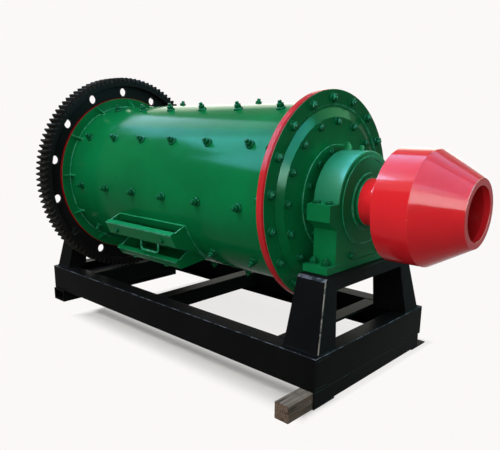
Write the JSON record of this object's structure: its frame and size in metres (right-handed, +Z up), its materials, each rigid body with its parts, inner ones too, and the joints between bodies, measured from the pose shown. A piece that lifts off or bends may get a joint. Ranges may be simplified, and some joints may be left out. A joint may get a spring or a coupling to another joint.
{
  "type": "ball mill",
  "caption": "Small horizontal ball mill: flanged drum with ring gear and drum feeder, turning in two plummer blocks on a welded skid frame.",
  "frame": {"origin": "on the floor, under the middle of the machine's box", "axes": "+Z up, +X along the drum's axis towards the feed end, -Y the hatch side"},
  "size_m": [2.632, 1.2942, 1.4872],
  "materials": {
    "frame_black": "semi-gloss",
    "bearing_green": "gloss",
    "timber": "rough sawn, weathered",
    "drum_green": "gloss",
    "gear_black": "painted, semi-gloss",
    "feeder_red": "gloss"
  },
  "bodies": {
    "base": {"rail_front": "frame_black", "rail_back": "frame_black", "end_beam_gear": "frame_black", "end_beam_feed": "frame_black", "cross_member_mid": "frame_black", "cross_member_gear": "frame_black", "tie_plate_feed": "frame_black", "skid_tube_gear": "frame_black", "skid_channel_feed": "frame_black", "foot_plates_feed": "frame_black", "pedestal_leg_front_gear": "frame_black", "pedestal_leg_back_gear": "frame_black", "pedestal_beam_gear": "frame_black", "pedestal_leg_front_feed": "frame_black", "pedestal_leg_back_feed": "frame_black", "pedestal_beam_feed": "frame_black", "bearing_base_feed": "bearing_green", "bearing_base_gear": "bearing_green", "bearing_cap_feed": "bearing_green", "bearing_cap_gear": "bearing_green", "bearing_covers_feed": "bearing_green", "bearing_covers_gear": "bearing_green", "grease_fittings": "bearing_green", "timber_block": "timber"},
    "drum": {"drum_shell": "drum_green", "flange_gear_end": "drum_green", "flange_feed_end": "drum_green", "gussets_gear_end": "drum_green", "gussets_feed_end": "drum_green", "head_feed": "drum_green", "head_gear": "drum_green", "trunnion_feed": "drum_green", "trunnion_gear": "drum_green", "hatch_upper_tray": "drum_green", "hatch_lower_tray": "drum_green", "hatch_cover": "drum_green", "hatch_handle": "drum_green", "ring_gear": "gear_black", "feeder_neck": "feeder_red", "feeder_barrel": "feeder_red", "feeder_cone": "feeder_red", "feeder_mouth_ring": "feeder_red"}
  },
  "joints": [
    {"name": "drum_spin", "type": "hinge", "parent": "base", "child": "drum", "pos_m": [0, 0, 0.846], "axis": [1, 0, 0], "continuous": true}
  ]
}
